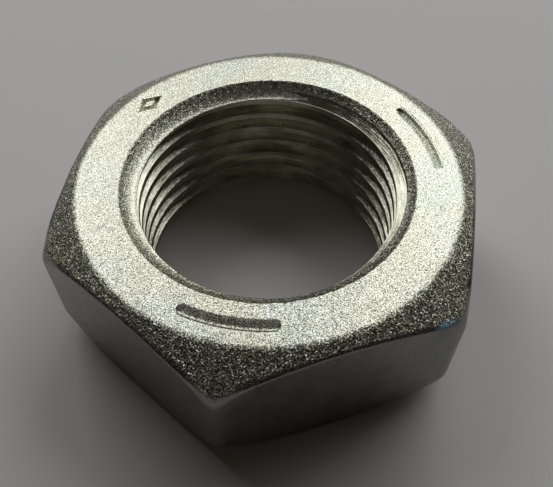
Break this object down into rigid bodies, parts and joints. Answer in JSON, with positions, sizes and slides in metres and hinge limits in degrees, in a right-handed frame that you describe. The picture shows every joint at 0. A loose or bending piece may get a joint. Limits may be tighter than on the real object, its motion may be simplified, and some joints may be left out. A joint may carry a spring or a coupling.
{
  "type": "hex jam nut",
  "caption": "Thin steel hexagon nut with chamfered corners on both faces, a countersunk threaded bore and shallow arc marks on the upper face.",
  "frame": {"origin": "centre of the threaded bore in the plane of the lower bearing face", "axes": "+Z along the bore axis towards the marked upper face, +X through a corner and through the middle of one arc mark, +Y through a wrench flat"},
  "size_m": [0.0476, 0.0416, 0.0161],
  "materials": {
    "zinc_plated_steel": "bright zinc plate, grainy on the faces and chamfers, satin on the flats"
  },
  "bodies": {
    "root": {"nut_body": "zinc_plated_steel"}
  },
  "joints": []
}
